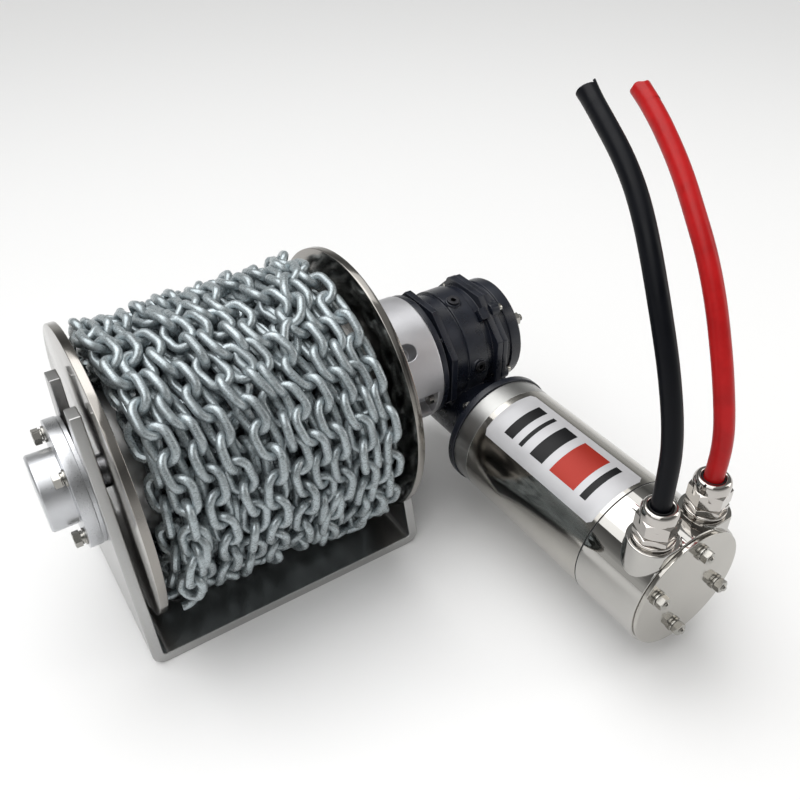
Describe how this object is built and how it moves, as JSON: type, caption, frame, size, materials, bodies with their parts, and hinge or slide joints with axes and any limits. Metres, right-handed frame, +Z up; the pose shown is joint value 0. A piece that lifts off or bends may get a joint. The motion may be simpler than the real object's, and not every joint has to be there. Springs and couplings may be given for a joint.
{
  "type": "anchor windlass",
  "caption": "Drum anchor winch: U-shaped stainless frame, flanged drum full of chain, worm gearbox and a motor at right angles with two power cables.",
  "frame": {"origin": "centre of the base's bottom face, between the four base bolts", "axes": "+X along the drum's axis towards the gearbox, -Y along the motor towards its end cover, +Z up"},
  "size_m": [0.4164, 0.398, 0.3689],
  "materials": {
    "brushed_stainless": "brushed, with bright cut edges",
    "polished_flange": "mirror polished sheet with fine scratches",
    "polished_stainless": "mirror polished",
    "satin_stainless": "polished, slightly hazy",
    "satin_grey_metal": "turned satin",
    "satin_aluminium": "fine satin, anodised",
    "cast_aluminium": "machined casting, satin",
    "black_paint": "semi-gloss paint over a casting",
    "dark_plug": "blackened steel",
    "stainless_fastener": "bright machined",
    "nickel_plate": "nickel plated brass",
    "galvanised_chain": "hot-dip galvanised, dull grey with soft highlights",
    "bearing_steel": "ground",
    "ground_steel": "ground",
    "bronze": "machined bronze",
    "laminations": "varnished stack",
    "enamelled_copper": "enamelled wire",
    "copper_bars": "turned copper",
    "ferrite": "ground ceramic",
    "phenolic": "moulded",
    "carbon": "pressed carbon",
    "black_rubber": "matt",
    "black_pvc": "smooth, slight sheen",
    "red_pvc": "smooth, slight sheen"
  },
  "bodies": {
    "frame": {"u_frame": "brushed_stainless", "backing_ring": "satin_aluminium", "bearing_housing": "satin_aluminium", "housing_bolts": "stainless_fastener", "housing_spring_washers": "stainless_fastener", "housing_washers": "stainless_fastener", "drum_bearing_outer_race": "bearing_steel", "drum_bearing_balls": "bearing_steel", "drum_shaft_seal": "black_rubber", "gearbox_adapter": "cast_aluminium", "adapter_bolts": "stainless_fastener", "gearbox_housing": "black_paint", "gearbox_cover": "black_paint", "gearbox_studs": "stainless_fastener", "gearbox_nuts": "stainless_fastener", "cover_screws": "stainless_fastener", "oil_plugs": "dark_plug", "wheel_bearing_outer_races": "bearing_steel", "wheel_bearing_balls": "bearing_steel", "output_seal": "black_rubber", "worm_end_cap": "black_paint", "worm_bearing_outer_races": "bearing_steel", "worm_bearing_balls": "bearing_steel", "motor_flange": "black_paint", "flange_bolts": "stainless_fastener", "motor_ring": "satin_grey_metal", "motor_tube": "satin_stainless", "magnets": "ferrite", "motor_bearing_outer_races": "bearing_steel", "motor_bearing_balls": "bearing_steel", "brush_plate": "phenolic", "brushes": "carbon", "end_cover": "polished_stainless", "end_plate": "satin_stainless", "end_studs": "stainless_fastener", "end_nuts": "stainless_fastener", "end_washers": "stainless_fastener", "gland_bodies": "nickel_plate", "gland_nuts": "nickel_plate", "gland_seals": "black_rubber", "cable_black": "black_pvc", "cable_red": "red_pvc"},
    "drum": {"drum_tube": "brushed_stainless", "drum_flange_left": "polished_flange", "drum_flange_right": "polished_flange", "drum_hubs": "bearing_steel", "main_shaft": "bearing_steel", "shaft_keys": "bearing_steel", "chain_pack": "galvanised_chain", "drum_bearing_inner_race": "bearing_steel", "worm_wheel": "bronze", "wheel_bearing_inner_races": "bearing_steel"},
    "rotor": {"worm_shaft": "ground_steel", "worm_bearing_inner_races": "bearing_steel", "drive_coupling": "ground_steel", "motor_shaft": "ground_steel", "armature_core": "laminations", "armature_windings": "enamelled_copper", "commutator": "copper_bars", "motor_bearing_inner_races": "bearing_steel"}
  },
  "joints": [
    {"name": "drum_spin", "type": "hinge", "parent": "frame", "child": "drum", "pos_m": [0, 0, 0.124], "axis": [1, 0, 0], "continuous": true},
    {"name": "motor_spin", "type": "hinge", "parent": "frame", "child": "rotor", "pos_m": [0.204, 0, 0.074], "axis": [0, 1, 0], "continuous": true}
  ],
  "couplings": [
    {"joint": "motor_spin", "follows": "drum_spin", "ratio": -30}
  ]
}
